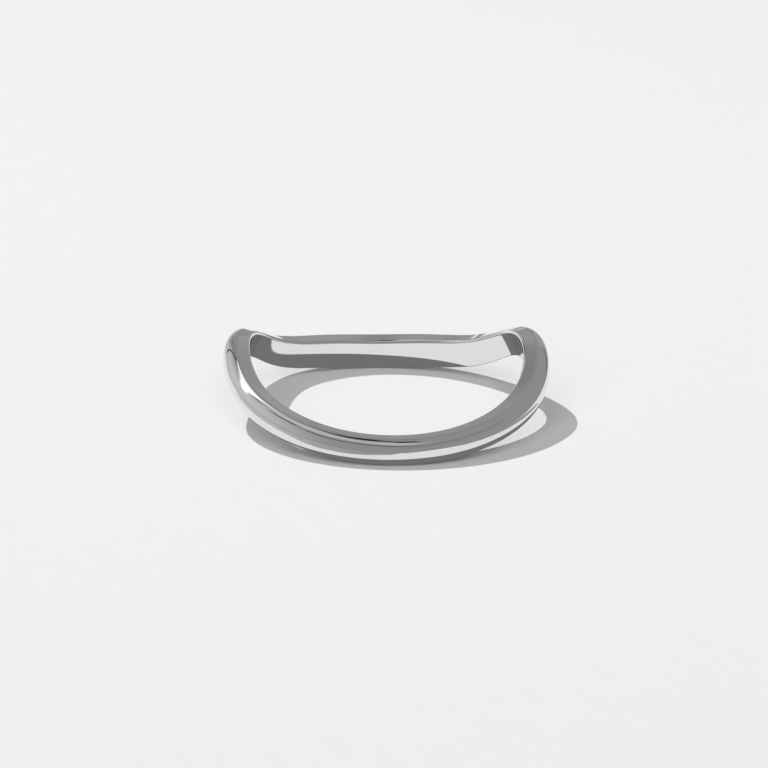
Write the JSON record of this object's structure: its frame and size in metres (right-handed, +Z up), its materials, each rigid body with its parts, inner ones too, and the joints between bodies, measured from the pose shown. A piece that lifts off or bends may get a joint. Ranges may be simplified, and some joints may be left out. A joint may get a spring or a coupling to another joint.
{
  "type": "curved wedding band",
  "caption": "Plain polished white metal ring whose slim rounded band dips at the front, arches at both sides and runs low at the back.",
  "frame": {"origin": "on the surface the ring lies on, under the middle of the finger hole", "axes": "+Z up along the finger hole, -Y towards the dipped front, +X to the right seen from the front"},
  "size_m": [0.0196, 0.0195, 0.0045],
  "materials": {
    "white_metal": "mirror polished platinum with a trace of fine wear"
  },
  "bodies": {
    "root": {"band": "white_metal"}
  },
  "joints": []
}
